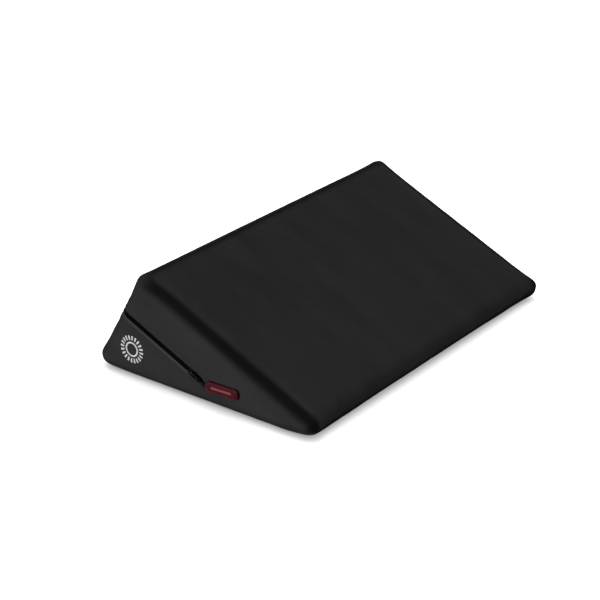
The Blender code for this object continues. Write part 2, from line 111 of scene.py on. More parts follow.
TOE = flat(-DEPTH / 2, 0)
BROW = flat(-DEPTH / 2, NOSE_HEIGHT)
APEX = flat(DEPTH / 2 - APEX_SETBACK, HEIGHT)
HEEL = flat(DEPTH / 2, 0)
CORNERS = [TOE, BROW, APEX, HEEL]
ACROSS = Vector((1, 0, 0))


def outward(start, end):
    run = (end - start).normalized()
    return flat(-run.z, run.y)


FACES = [outward(CORNERS[i], CORNERS[(i + 1) % 4]) for i in range(4)]
TOP_OUT = FACES[1]
BACK_OUT = FACES[2]
UP_SLOPE = (APEX - BROW).normalized()
UP_BACK = (APEX - HEEL).normalized()
SLOPE_TURN = math.atan2(UP_SLOPE.z, UP_SLOPE.y)
ZIP_ORIGIN = BROW - TOP_OUT * ZIP_BELOW_TOP
CENTRES = [
    CORNERS[i] - (FACES[i - 1] + FACES[i]) * (EDGE_RADIUS / (1 + FACES[i - 1].dot(FACES[i])))
    for i in range(4)]
ARCS = [EDGE_RADIUS * FACES[i - 1].angle(FACES[i]) for i in range(4)]
RUNS = [(CENTRES[(i + 1) % 4] - CENTRES[i]).length for i in range(4)]
STARTS = [sum(ARCS[:i]) + sum(RUNS[:i]) for i in range(4)]
GIRTH = sum(ARCS) + sum(RUNS)
TOE_SEAM = ARCS[0] / 2
APEX_SEAM = STARTS[2] + ARCS[2] / 2
HEEL_SEAM = STARTS[3] + ARCS[3] / 2


# Pull of the filled cover at each corner, on the left and on the right: in from the side, back and up.
# The last value is how far it reaches. All are in millimetres.
CORNER_PULLS = (
    (TOE, (1.5, -4.0, 9.0), (-3.0, -4.0, 4.0), 55.0),
    (BROW, (-2.0, -10.0, -4.1), (-4.5, -10.0, -7.0), 55.0),
    (APEX, (-4.0, 3.0, -3.0), (-6.0, 2.5, -1.0), 75.0),
    (HEEL, (-0.8, 3.8, 4.0), (-0.8, 3.8, 4.0), 75.0),
)


def girth_spot(along):
    """Rounding centre and outward direction at a distance round the wedge's profile."""
    along %= GIRTH
    for i in (3, 2, 1, 0):
        if along >= STARTS[i]:
            break
    past = along - STARTS[i]
    if past < ARCS[i]:
        return CENTRES[i], Matrix.Rotation(-past / EDGE_RADIUS, 3, "X") @ FACES[i - 1]
    share = (past - ARCS[i]) / RUNS[i]
    return CENTRES[i].lerp(CENTRES[(i + 1) % 4], share), FACES[i]


def skin(along, across):
    """Point of the plain wedge skin: distance round the profile, distance across it from the middle."""
    centre, out = girth_spot(along)
    lean = max(0.0, abs(across) - CORE) / EDGE_RADIUS
    x = math.copysign(min(abs(across), CORE) + EDGE_RADIUS * math.sin(lean), across)
    return Vector((x, 0, 0)) + centre + out * EDGE_RADIUS * math.cos(lean)


def bow(value):
    return max(0.0, 1.0 - value * value)


def soften(point):
    """Crowned faces and pulled corners of the filled cover, close to those of the CAD."""
    moved = point.copy()
    side = bow(point.x / CORE)
    below = (BROW - point).dot(TOP_OUT)
    along = (point - BROW).dot(UP_SLOPE) / (APEX - BROW).length
    fade = max(0.0, 1 - max(0.0, below) / TOP_CROWN_REACH)
    moved += TOP_OUT * TOP_CROWN * side * bow(2 * along - 1) * fade
    behind = (HEEL - point).dot(BACK_OUT)
    rise = (point - HEEL).dot(UP_BACK) / (APEX - HEEL).length
    fade = max(0.0, 1 - max(0.0, behind) / BACK_CROWN_REACH)
    moved += BACK_OUT * BACK_CROWN * side * bow(2 * rise - 1) * fade
    for corner, left, right, reach in CORNER_PULLS:
        for hand, pull in ((-1, left), (1, right)):
            near = max(0.0, 1 - (point - corner - ACROSS * hand * WIDTH / 2).length / (reach * MM)) ** 2
            moved += Vector((-hand * pull[0], pull[1], pull[2])) * MM * near
    moved.z = max(moved.z, min(point.z, 0.0))
    return moved


def zip_rise(point):
    return (point - ZIP_ORIGIN).dot(TOP_OUT)


def zip_along(point):
    return (point - ZIP_ORIGIN).dot(UP_SLOPE)


def ramp(value, start, run):
    """Smooth rise from 0 at the start to 1 at the end of a run."""
    share = min(1.0, max(0.0, (value - start) / run))
    return share * share * (3 - 2 * share)


def graded(start, end, step):
    """Positions from a seam to a seam, closer together beside each seam."""
    near = [n * MM for n in (0.0, 0.5, 1.1, 1.9, 2.9, 4.3, 6.5, 9.5, 13.5)]
    low = start + near[-1]
    high = end - near[-1]
    count = max(1, round((high - low) / step))
    middle = [low + (high - low) * k / count for k in range(1, count)]
    return [start + n for n in near] + middle + [end - n for n in reversed(near)]


def in_scene(name, data):
    item = bpy.data.objects.new(name, data)
    bpy.context.scene.collection.objects.link(item)
    return item


def piece(name, mesh, finish, body, stands_for):
    """Put a finished mesh in the scene on its CAD body."""
    item = in_scene(name, mesh)
    mesh.materials.clear()
    mesh.materials.append(finish)
    mesh.polygons.foreach_set("use_smooth", [True] * len(mesh.polygons))
    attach(item, body)
    if stands_for:
        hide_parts(*stands_for)
    return item


def as_mesh(name, bm):
    mesh = bpy.data.meshes.new(name)
    bm.to_mesh(mesh)
    bm.free()
    return mesh


def closed_mesh(name, bm, place=Matrix()):
    """Mesh of closed forms, with every face turned outward, moved to its place."""
    bmesh.ops.recalc_face_normals(bm, faces=bm.faces[:])
    bmesh.ops.transform(bm, matrix=place, verts=bm.verts[:])
    return as_mesh(name, bm)


def web(bm, rows, closed=True):
    """Faces between each row of points and the next."""
    for near, far in zip(rows, rows[1:]):
        for k in range(len(near) if closed else len(near) - 1):
            j = (k + 1) % len(near)
            bm.faces.new((near[k], near[j], far[j], far[k]))


# Materials
def linear(hex_code):
    """sRGB hex to linear colour."""
    parts = [int(hex_code[i:i + 2], 16) / 255 for i in (1, 3, 5)]
    return [p / 12.92 if p <= 0.04045 else ((p + 0.055) / 1.055) ** 2.4 for p in parts] + [1.0]


def add(tree, kind, inputs=(), **settings):
    """Add a shader node with its settings; each input takes a value or another node's socket."""
    made = tree.nodes.new(kind)
    for name, value in settings.items():
        setattr(made, name, value)
    for name, value in dict(inputs).items():
        if isinstance(value, bpy.types.NodeSocket):
            tree.links.new(value, made.inputs[name])
        else:
            made.inputs[name].default_value = value
    return made


def finish_named(name, **sockets):
    """A new material; returns it with its node tree, its shader and the place on the object in metres."""
    made = bpy.data.materials.new(name)
    made.use_nodes = True
    tree = made.node_tree
    shader = tree.nodes["Principled BSDF"]
    for socket, value in sockets.items():
        shader.inputs[socket.replace("_", " ")].default_value = value
    place = add(tree, "ShaderNodeTexCoord").outputs["Object"]
    return made, tree, shader, place


# A wave pattern of scale 1 repeats every 0.314 m along an axis, and every 0.363 m on the diagonal
WAVE_REPEAT = 0.314


def patterned(tree, shader, share, dark, light, rough, relief=None):
    """Colour and roughness that follow a pattern from low to high, with relief as strength and depth."""
    tone = add(tree, "ShaderNodeMix", {
        "Factor": share, "A": linear(dark), "B": linear(light)}, data_type="RGBA")
    tree.links.new(tone.outputs[2], shader.inputs["Base Color"])
    gloss = add(tree, "ShaderNodeMapRange", {"Value": share, "To Min": rough[0], "To Max": rough[1]})
    tree.links.new(gloss.outputs[0], shader.inputs["Roughness"])
    if relief:
        form = add(tree, "ShaderNodeBump", {
            "Height": share, "Strength": relief[0], "Distance": relief[1] * MM})
        tree.links.new(form.outputs[0], shader.inputs["Normal"])


NAP_BLACK = "#272728"
SEAM_SHADE_LAYER = "painted_seam_shade"
PRINT_SPOT = (0.0, 0.123, 0.049)
PRINT_GREY = "#B9B9BA"
PRINT_TICKS = 20.0


def brushed_microfibre(name, lit_hem=False, printed=False):
    """Polyester microfibre, knitted and brushed: a dense soft black nap, matt, with a faint bloom."""
    made, tree, shader, place = finish_named(
        name, Roughness=0.95, Specular_IOR_Level=0.0,
        Sheen_Weight=0.02, Sheen_Roughness=0.5, Sheen_Tint=linear("#FFFFFF"))
    # Painted shade: a dark band some 20 mm wide beside each seam, along the rounded edges
    shade_share = add(tree, "ShaderNodeAttribute", attribute_name=SEAM_SHADE_LAYER).outputs["Fac"]
    seam_shade = add(tree, "ShaderNodeMapRange", {"Value": shade_share, "To Min": 1.0, "To Max": 0.20})
    # Hand marks and fibres run down the slope, three and four times as long as they are wide
    lie, comb = (
        add(tree, "ShaderNodeMapping", {
            "Vector": place, "Rotation": (SLOPE_TURN, 0, 0), "Scale": (1.0, longer, 1.0)},
            vector_type="TEXTURE").outputs[0]
        for longer in (3.0, 4.0))
    # Hand marks in the nap are some 60 mm wide
    marks = add(tree, "ShaderNodeTexNoise", {
        "Vector": lie, "Scale": 1 / 0.060, "Detail": 3.0, "Roughness": 0.55})
    worn = add(tree, "ShaderNodeMapRange", {
        "Value": marks.outputs["Fac"], "From Min": 0.3, "From Max": 0.7, "To Min": 0.86, "To Max": 1.13})
    # Fibre tufts are 0.2 mm; they are drawn 1.6 mm wide so that they show
    tufts = add(tree, "ShaderNodeTexNoise", {
        "Vector": place, "Scale": 1 / 0.0016, "Detail": 2.0, "Roughness": 0.6})
    # Fibres are 0.02 mm; they are drawn 0.5 mm wide so that they show close up
    fibres = add(tree, "ShaderNodeTexNoise", {"Vector": comb, "Scale": 1 / 0.0005, "Detail": 2.0})
    pile = add(tree, "ShaderNodeMix", {
        "Factor": 0.5, "A": tufts.outputs["Fac"], "B": fibres.outputs["Fac"]}).outputs[0]
    fleck = add(tree, "ShaderNodeMapRange", {"Value": pile, "To Min": 0.50, "To Max": 1.50})
    shades = [seam_shade, worn, fleck]
    if lit_hem:
        # Painted highlight: the lower hem is made lighter for 6 to 11 mm beside the zip, along its fold
        apart = add(tree, "ShaderNodeVectorMath", {
            0: place, 1: ZIP_ORIGIN}, operation="SUBTRACT").outputs[0]
        rise, along = (
            add(tree, "ShaderNodeVectorMath", {0: apart, 1: way}, operation="DOT_PRODUCT").outputs["Value"]
            for way in (TOP_OUT, UP_SLOPE))
        hem_light = add(tree, "ShaderNodeMapRange", {
            "Value": rise, "From Min": -11 * MM, "From Max": -6 * MM}, interpolation_type="SMOOTHSTEP")
        zipped = add(tree, "ShaderNodeMapRange", {
            "Value": along, "From Min": ZIP_FRONT - 4 * MM, "From Max": ZIP_FRONT + 16 * MM,
            "To Max": 0.75})
        shades.append(add(tree, "ShaderNodeMath", {
            0: hem_light.outputs[0], 1: zipped.outputs[0], 2: 1.0}, operation="MULTIPLY_ADD"))
    colour = linear(NAP_BLACK)
    for shade in shades:
        colour = add(tree, "ShaderNodeMix", {
            "Factor": 1.0, "A": colour, "B": shade.outputs[0]},
            data_type="RGBA", blend_type="MULTIPLY").outputs[2]
    if printed:
        ink = dial_print(tree, place, tufts.outputs["Fac"])
        colour = add(tree, "ShaderNodeMix", {
            "Factor": ink, "A": colour, "B": linear(PRINT_GREY)}, data_type="RGBA").outputs[2]
    tree.links.new(colour, shader.inputs["Base Color"])
    nap = add(tree, "ShaderNodeBump", {"Height": pile, "Strength": 0.6, "Distance": 0.5 * MM})
    tree.links.new(nap.outputs[0], shader.inputs["Normal"])
    return made


def dial_print(tree, place, grain):
    """Where the pale ink lies: a plain ring with ticks round it, rubbed thin on the nap."""
    level = add(tree, "ShaderNodeVectorMath", {
        0: place, 1: (0.0, 1.0, 1.0)}, operation="MULTIPLY").outputs[0]
    away = add(tree, "ShaderNodeVectorMath", {0: level, 1: PRINT_SPOT}, operation="SUBTRACT").outputs[0]
    reach = add(tree, "ShaderNodeVectorMath", {0: away}, operation="LENGTH").outputs["Value"]
    parts = add(tree, "ShaderNodeSeparateXYZ", {"Vector": away}).outputs
    turn = add(tree, "ShaderNodeMath", {0: parts["Z"], 1: parts["Y"]}, operation="ARCTAN2").outputs[0]
    turns = add(tree, "ShaderNodeMath", {0: turn, 1: PRINT_TICKS}, operation="MULTIPLY").outputs[0]
    wave = add(tree, "ShaderNodeMath", {0: turns}, operation="SINE").outputs[0]
    inked = add(tree, "ShaderNodeMath", {0: wave, 1: 0.1}, operation="GREATER_THAN").outputs[0]
    # Ticks run from 15 to 22 mm off the middle, the ring from 9.4 to 12 mm
    tick, ring = (
        add(tree, "ShaderNodeMath", {
            0: reach, 1: middle * MM, 2: half * MM}, operation="COMPARE").outputs[0]
        for middle, half in ((18.5, 3.5), (10.7, 1.3)))
    tick = add(tree, "ShaderNodeMath", {0: tick, 1: inked}, operation="MULTIPLY").outputs[0]
    ink = add(tree, "ShaderNodeMath", {0: tick, 1: ring}, operation="MAXIMUM").outputs[0]
    rubbed = add(tree, "ShaderNodeMapRange", {
        "Value": grain, "From Min": 0.3, "From Max": 0.5, "To Min": 0.55, "To Max": 0.95}).outputs[0]
    return add(tree, "ShaderNodeMath", {0: ink, 1: rubbed}, operation="MULTIPLY").outputs[0]


def woven_base():
    """Polyester, plain woven and dyed black: a flat even cloth with crossing threads and a faint gloss."""
    made, tree, shader, place = finish_named("woven_polyester_base", Specular_IOR_Level=0.25)
    # Threads are 0.5 mm apart; they are drawn 2 mm apart so that they show
    warp, weft = (
        add(tree, "ShaderNodeTexWave", {
            "Vector": place, "Scale": WAVE_REPEAT / 0.002, "Distortion": 0.4}, bands_direction=way)
        for way in "XY")
    weave = add(tree, "ShaderNodeMath", {
        0: warp.outputs["Fac"], 1: weft.outputs["Fac"]}, operation="MULTIPLY")
    patterned(tree, shader, weave.outputs[0], "#111113", "#232327", (0.85, 0.62), (0.5, 0.4))
    return made


def woven_tape():
    """Polyester tape, twill woven: dull and black, with fine ribs that slant across it."""
    made, tree, shader, place = finish_named("woven_polyester_tape", Specular_IOR_Level=0.03)
    # Ribs are 1.2 mm apart on the diagonal
    ribs = add(tree, "ShaderNodeTexWave", {
        "Vector": place, "Scale": WAVE_REPEAT / 0.001, "Distortion": 0.6}, bands_direction="DIAGONAL")
    patterned(tree, shader, ribs.outputs["Fac"], "#020202", "#070708", (0.92, 0.72), (0.6, 0.2))
    return made


def drawn_nylon():
    """Nylon, drawn to a round wire and wound: smooth and black, with a soft shine, rubbed in places."""
    made, tree, shader, place = finish_named("drawn_nylon_coil", IOR=1.53, Specular_IOR_Level=0.04)
    # Rubbed places are some 3 mm wide
    rubs = add(tree, "ShaderNodeTexNoise", {"Vector": place, "Scale": 1 / 0.003, "Detail": 3.0})
    patterned(tree, shader, rubs.outputs["Fac"], "#030303", "#080809", (0.5, 0.7))
    return made


def spun_thread():
    """Polyester thread, spun and twisted: black, with two plies that wind round each other."""
    made, tree, shader, place = finish_named("spun_polyester_thread", Specular_IOR_Level=0.2)
    # Plies wind once in 0.9 mm
    plies = add(tree, "ShaderNodeTexWave", {
        "Vector": place, "Scale": WAVE_REPEAT / 0.0008, "Distortion": 1.0}, bands_direction="DIAGONAL")
    patterned(tree, shader, plies.outputs["Fac"], "#0E0E0F", "#1E1E20", (0.85, 0.6), (0.6, 0.1))
    return made


def cut_foam():
    """Polyurethane foam, foamed in a block and cut: pale, matt, and open celled all over."""
    made, tree, shader, place = finish_named("open_cell_polyurethane_foam", Specular_IOR_Level=0.1)
    # Cells are 0.8 mm; they are drawn 2 mm wide so that they show
    cells = add(tree, "ShaderNodeTexVoronoi", {"Vector": place, "Scale": 1 / 0.002})
    patterned(tree, shader, cells.outputs["Distance"], "#A89F86", "#D6CFB9", (0.98, 0.85), (0.7, 0.6))
    return made


def stoved_enamel():
    """Zinc alloy, die cast and enamelled black: a low gloss, fine orange peel, edges rubbed to grey."""
    made, tree, shader, place = finish_named("enamelled_zinc_casting", Specular_IOR_Level=0.03)
    # Orange peel in stoved enamel is about 1 mm across
    peel = add(tree, "ShaderNodeTexNoise", {"Vector": place, "Scale": 1 / 0.001, "Detail": 2.0})
    # Rubbed patches are about 4 mm long
    rubs = add(tree, "ShaderNodeTexNoise", {
        "Vector": place, "Scale": 1 / 0.004, "Detail": 4.0, "Roughness": 0.65})
    sharp = add(tree, "ShaderNodeNewGeometry").outputs["Pointiness"]
    edge = add(tree, "ShaderNodeMapRange", {"Value": sharp, "From Min": 0.56, "From Max": 0.66})
    worn = add(tree, "ShaderNodeMath", {0: edge.outputs[0], 1: rubs.outputs["Fac"]}, operation="MULTIPLY")
    bare = add(tree, "ShaderNodeMapRange", {"Value": worn.outputs[0], "From Min": 0.42, "From Max": 0.60})
    tone = add(tree, "ShaderNodeMix", {
        "Factor": bare.outputs[0], "A": linear("#030304"), "B": linear("#1C1C1E")}, data_type="RGBA")
    tree.links.new(tone.outputs[2], shader.inputs["Base Color"])
    tree.links.new(bare.outputs[0], shader.inputs["Metallic"])
    gloss = add(tree, "ShaderNodeMapRange", {"Value": rubs.outputs["Fac"], "To Min": 0.42, "To Max": 0.65})
    tree.links.new(gloss.outputs[0], shader.inputs["Roughness"])
    peeled = add(tree, "ShaderNodeBump", {
        "Height": peel.outputs["Fac"], "Strength": 0.15, "Distance": 0.05 * MM})
    tree.links.new(peeled.outputs[0], shader.inputs["Normal"])
    return made


def rolled_steel():
    """Spring steel, cold rolled and blued: grey, with a fine grain along the strip."""
    made, tree, shader, place = finish_named("rolled_spring_steel", Metallic=1.0)
    lie = add(tree, "ShaderNodeMapping", {"Vector": place, "Scale": (1.0, 0.08, 1.0)}).outputs[0]
    # Rolling lines are 0.1 mm; they are drawn 0.4 mm wide so that they show
    grain = add(tree, "ShaderNodeTexNoise", {"Vector": lie, "Scale": 1 / 0.0004, "Detail": 3.0})
    patterned(tree, shader, grain.outputs["Fac"], "#6F7176", "#A5A7AB", (0.25, 0.45))
    return made


def moulded_rubber(name, dark, light, coarse):
    """PVC rubber, moulded soft: an even colour with a satin skin, clouded a little, rubbed by fingers."""
    made, tree, shader, place = finish_named(name, IOR=1.52, Specular_IOR_Level=0.03)
    # Clouding in the mix is about 8 mm wide, the mould's sparked skin 0.5 mm
    clouds = add(tree, "ShaderNodeTexNoise", {"Vector": place, "Scale": 1 / 0.008, "Detail": 3.0})
    skin_grain = add(tree, "ShaderNodeTexNoise", {"Vector": place, "Scale": 1 / 0.0005, "Detail": 1.0})
    patterned(tree, shader, clouds.outputs["Fac"], dark, light, (coarse - 0.08, coarse + 0.12))
    sparked = add(tree, "ShaderNodeBump", {
        "Height": skin_grain.outputs["Fac"], "Strength": 0.2, "Distance": 0.05 * MM})
    tree.links.new(sparked.outputs[0], shader.inputs["Normal"])
    return made


MICROFIBRE = brushed_microfibre("brushed_black_microfibre")
# These two cloths carry a painted highlight along the lower hem beside the zip
HEM_LIT_MICROFIBRE = brushed_microfibre("hem_lit_black_microfibre", lit_hem=True)
PRINTED_MICROFIBRE = brushed_microfibre("printed_black_microfibre", lit_hem=True, printed=True)
BASE_WEAVE = woven_base()
TAPE_WEAVE = woven_tape()
COIL_NYLON = drawn_nylon()
THREAD = spun_thread()
FOAM = cut_foam()
ENAMEL = stoved_enamel()
SPRING_STEEL = rolled_steel()
GRIP_RED = moulded_rubber("moulded_red_rubber", "#2A0409", "#3C0A11", 0.46)
INLAY_PALE = moulded_rubber("moulded_pale_rubber", "#5F3036", "#734047", 0.50)


# Cover
def plain_skin(step):
    """The whole cover as one closed skin."""
    bm = bmesh.new()
    count = round(GIRTH / step)
    spots = [GIRTH * k / count for k in range(count)]
    stops = [-CORE - EDGE_RADIUS * math.radians(lean) for lean in (90, 68, 45, 22)]
    columns = round(2 * CORE / step)
    middle = [CORE * (2 * k / columns - 1) for k in range(columns + 1)]
    widths = stops + middle + [-w for w in reversed(stops)]
    web(bm, [[bm.verts.new(skin(s, w)) for s in spots] for w in widths])
    bmesh.ops.remove_doubles(bm, verts=bm.verts[:], dist=WELD)
    for hand in (-1, 1):
        rim = [e for e in bm.edges if e.is_boundary and e.verts[0].co.x * hand > 0]
        close_side(bm, rim, 8 * MM, along=(-0.020, 56), rise=(-0.100, 26))
    bmesh.ops.recalc_face_normals(bm, faces=bm.faces[:])
    return bm


def close_side(bm, rim, step, along, rise):
    """Close a side with a flat face, scored along and across the zip; each way has a start and a count."""
    cap = bmesh.ops.contextual_create(bm, geom=rim)["faces"]
    cut_grid(bm, cap, UP_SLOPE, [along[0] + step * k for k in range(along[1])])
    cap = [f for f in bm.faces if abs(f.calc_center_median().x) > SIDE_FLAT]
    cut_grid(bm, cap, TOP_OUT, [rise[0] + step * k for k in range(rise[1])])


def cut_grid(bm, faces, way, places):
    """Score faces along planes square to a direction in the zip's frame."""
    faces = set(faces)
    for place in places:
        near = [f for f in faces if f.is_valid]
        geom = set(near)
        for f in near:
            geom.update(f.edges)
            geom.update(f.verts)
        made = bmesh.ops.bisect_plane(
            bm, geom=list(geom), dist=CUT_SNAP, plane_co=ZIP_ORIGIN + way * place, plane_no=way)
        faces.update(g for g in made["geom"] if isinstance(g, bmesh.types.BMFace))


def side_lean(point):
    """How far the rounding has turned to the side at a point of the plain skin."""
    return math.asin(min(1.0, max(0.0, abs(point.x) - CORE) / EDGE_RADIUS))


# What holds the cover while it fills: its base, its side seams, and its hems on the sides and the back
HELD_BASE = 2 * MM
HELD_TURN = 0.02
HELD_HEM = 10 * MM
HEM_FREED = 15 * MM
BACK_DEEP = 12 * MM


def sewn_down(point):
    """How firmly a point of the cover is held: side seams, the base and the zip's hems do not lift."""
    if point.z < HELD_BASE or abs(side_lean(point) - SEAM_LEAN) < HELD_TURN:
        return 1.0
    if abs(point.x) > CORE or (HEEL - point).dot(BACK_OUT) < BACK_DEEP:
        return 1.0 - ramp(abs(zip_rise(point)), HELD_HEM, HEM_FREED)
    return 0.0


# Filling of the cover: the cloth's settings, and the most that its sides and its other faces swell
FILL_STEP = 9 * MM
FILL_FRAMES = 20
FILL = {
    "quality": 6, "mass": 0.25, "tension_stiffness": 25, "compression_stiffness": 25, "shear_stiffness": 8,
    "bending_stiffness": 2, "air_damping": 3, "use_pressure": True, "uniform_pressure_force": 4,
    "vertex_group_mass": "sewn", "shrink_min": -0.004, "shrink_max": -0.004}
SIDE_SWELL = 0.9 * MM
SIDE_DEEP = 4 * MM
FACE_SWELL = 1.4 * MM


def puffed():
    """How the filled cover swells: a lookup of the move at any point of the plain skin."""
    bm = plain_skin(FILL_STEP)
    start = [v.co.copy() for v in bm.verts]
    bm.verts.index_update()
    faces = [[v.index for v in f.verts] for f in bm.faces]
    blank = in_scene("cover_blank", as_mesh("cover_blank", bm))
    group = blank.vertex_groups.new(name=FILL["vertex_group_mass"])
    for i, spot in enumerate(start):
        group.add([i], sewn_down(spot), "REPLACE")
    cloth = blank.modifiers.new("fill", "CLOTH")
    for name, value in FILL.items():
        setattr(cloth.settings, name, value)
    cloth.settings.effector_weights.gravity = 0
    cloth.point_cache.frame_start = 1
    cloth.point_cache.frame_end = FILL_FRAMES
    moves = [Vector() for spot in start]
    for step in range(FILL_FRAMES):
        bpy.context.scene.frame_set(step + 1)
    shaped = blank.evaluated_get(bpy.context.evaluated_depsgraph_get()).to_mesh()
    moves = [v.co - spot for v, spot in zip(shaped.vertices, start)]
    bpy.context.scene.frame_set(1)
    bpy.data.objects.remove(blank, do_unlink=True)
    capped = []
    for spot, move in zip(start, moves):
        most = SIDE_SWELL if abs(spot.x) > WIDTH / 2 - SIDE_DEEP else FACE_SWELL
        far = move.length
        capped.append(move * (most * math.tanh(far / most) / far) if far > 1e-9 else Vector())
    return BVHTree.FromPolygons(start, faces), start, faces, capped


PUFF = puffed()


def swell(point):
    """The move of the filled cover at a point of the plain skin."""
    tree, start, faces, moves = PUFF
    spot, _, index, _ = tree.find_nearest(point)
    corners = faces[index]
    shares = poly_3d_calc([start[i] for i in corners], spot)
    return sum((moves[i] * s for i, s in zip(corners, shares)), Vector())


def slot_half(along):
    """Half width of the slot between the hems: shut ahead of the zip, wide where the slider runs."""
    wide = SLOT_HALF + (SLOT_CLOSED - SLOT_HALF) * ramp(along, ZIP_FRONT + ZIP_TRAVEL, SLOT_CLOSING)
    return SEAM_CLEAR + (wide - SEAM_CLEAR) * ramp(along, ZIP_FRONT - SLOT_TAPER, SLOT_TAPER)


def seam_lift(away, point):
    """Height of the cloth beside a seam: drawn down at the stitching, with slight gathers."""
    dip = -SEAM_DEEP * math.exp(-(away / SEAM_SOFT) ** 2)
    gather = GATHER_HIGH * noise.noise(point / GATHER_WIDE) * math.exp(-away / GATHER_REACH)
    return dip + gather


def hem_lift(away, along):
    """Height of the folded hem beside the zip: plump at the fold, dented by the stitch line."""
    fold = HEM_PLUMP * math.exp(-((away - HEM_FOLD_AT) / HEM_FOLD_HALF) ** 2)
    dent = -STITCH_DENT * math.exp(-((away - STITCH_LINE) / STITCH_DENT_HALF) ** 2)
    return (fold + dent) * ramp(along, ZIP_FRONT - 2 * SLOT_TAPER, SLOT_TAPER)


def tucked(bm, edges, depth):
    """Turn a cut edge of cloth in under itself."""
    bm.normal_update()
    downs = {}
    for e in edges:
        for v in e.verts:
            downs[v.co.to_tuple(7)] = v.normal.copy()
    for e in edges:
        e.smooth = False
    made = bmesh.ops.extrude_edge_only(bm, edges=edges)["geom"]
    for v in made:
        if isinstance(v, bmesh.types.BMVert):
            v.co -= downs[v.co.to_tuple(7)] * depth


def panel_between_seams(low, high):
    """Grid of a panel that runs across the whole width, with each point's distance from its seams."""
    bm = bmesh.new()
    away = bm.verts.layers.float.new("from_seam")
    spots = graded(low + SEAM_CLEAR, high - SEAM_CLEAR, PANEL_STEP)
    widths = graded(-SEAM_AT + SEAM_CLEAR, SEAM_AT - SEAM_CLEAR, PANEL_STEP)
    rows = []
    for s in spots:
        row = []
        for w in widths:
            v = bm.verts.new(skin(s, w))
            v[away] = min(s - low, high - s, SEAM_AT - abs(w))
            row.append(v)
        rows.append(row)
    web(bm, rows, closed=False)
    return bm, away


def panel_of_side(hand):
    """Grid of a whole side: the half rounding that belongs to it, and its flat face."""
    bm = bmesh.new()
    away = bm.verts.layers.float.new("from_seam")
    steps = [SEAM_CLEAR / MM, 0.6, 1.3, 2.3, 3.7, 5.6, 8.0, 11.0]
    leans = [SEAM_AT + k * MM for k in steps] + [ROUND_END]
    count = round(GIRTH / PANEL_STEP)
    spots = [GIRTH * k / count for k in range(count)]
    web(bm, [[bm.verts.new(skin(s, hand * w)) for s in spots] for w in leans])
    bmesh.ops.remove_doubles(bm, verts=bm.verts[:], dist=WELD)
    rim = [e for e in bm.edges if e.is_boundary and abs(e.verts[0].co.x) > SIDE_FLAT]
    close_side(bm, rim, PANEL_STEP, along=(-0.020, 75), rise=(-0.099, 31))
    for v in bm.verts:
        v[away] = EDGE_RADIUS * (side_lean(v.co) - SEAM_LEAN)
    return bm, away


def score(bm, row, way, **options):
    """Score every face along the zip, at a rise of some millimetres from its middle."""
    bmesh.ops.bisect_plane(
        bm, geom=bm.verts[:] + bm.edges[:] + bm.faces[:], dist=CUT_SNAP,
        plane_co=ZIP_ORIGIN + TOP_OUT * row * MM, plane_no=way, **options)


def halved(bm, upper):
    """Keep the part of a panel above or below the zip, with close rows beside it."""
    sign = 1 if upper else -1
    rows = [0, 0.5, 1.0, 1.6, 2.3, 3.1, 4.0, 4.8, 5.6, 6.6, 8.0, 10.0, 13.0, 17.0]
    for row in rows:
        score(bm, sign * row, -TOP_OUT * sign, clear_outer=(row == 0))


# Painted shade beside the seams: how strongly, for what width, and over what width it fades out
SHADE_AT_CORNER = 0.45
CORNER_START = 12 * MM
CORNER_FADE = 22 * MM
BAND_WIDE = 4 * MM
BAND_FADE = 10 * MM
BAND_MORE_LOW = 3 * MM
LOW_FADE = 20 * MM
BAND_MORE_RIM = 5 * MM
RIM_WIDE = 30 * MM
RIM_FADE = 20 * MM
BACK_LOSS = 0.65
SIDE_BAND_WIDE = 2.5 * MM
SIDE_BAND_FADE = 17 * MM
OTHER_BAND = 0.35
OTHER_BAND_WIDE = 3 * MM
OTHER_BAND_FADE = 9 * MM
CHANGE_OVER = 24 * MM


def seam_shade_share(point, away):
    """Share of painted shade beside the seams: most beside the top's seam, less beside the back and the
    base.
    """
    top = min((BROW - point).dot(TOP_OUT), point.y + DEPTH / 2)
    behind = (HEEL - point).dot(BACK_OUT)
    # The band fades out at the two top corners
    corner = APEX + ACROSS * math.copysign(WIDTH / 2, point.x)
    fade = SHADE_AT_CORNER + (1 - SHADE_AT_CORNER) * ramp((point - corner).length, CORNER_START, CORNER_FADE)
    if abs(point.x) < SEAM_X + WELD:
        wide = BAND_WIDE + BAND_MORE_LOW * (1 - ramp(point.z, 0.0, LOW_FADE))
        # The back gets less painted shade than the top, except along the ridge that they share
        slack = ramp(top - behind, 0.0, CHANGE_OVER)
        # The band is wider along the ridge and down the right edge
        rim = max(ramp(point.x - CORE, -RIM_WIDE, RIM_FADE), ramp(-behind, -RIM_WIDE, RIM_FADE))
        wide += BAND_MORE_RIM * rim * (1 - slack)
        return fade * (1 - BACK_LOSS * slack) * (1 - ramp(away, wide, BAND_FADE))
    other = min(point.z, behind)
    from_top = away + max(0.0, top - EDGE_RADIUS)
    from_other = away + max(0.0, other - EDGE_RADIUS)
    near_top = fade * (1 - ramp(from_top, SIDE_BAND_WIDE, SIDE_BAND_FADE))
    near_other = OTHER_BAND * (1 - ramp(from_other, OTHER_BAND_WIDE, OTHER_BAND_FADE))
    return near_other + (near_top - near_other) * ramp(other - top, -CHANGE_OVER / 2, CHANGE_OVER)


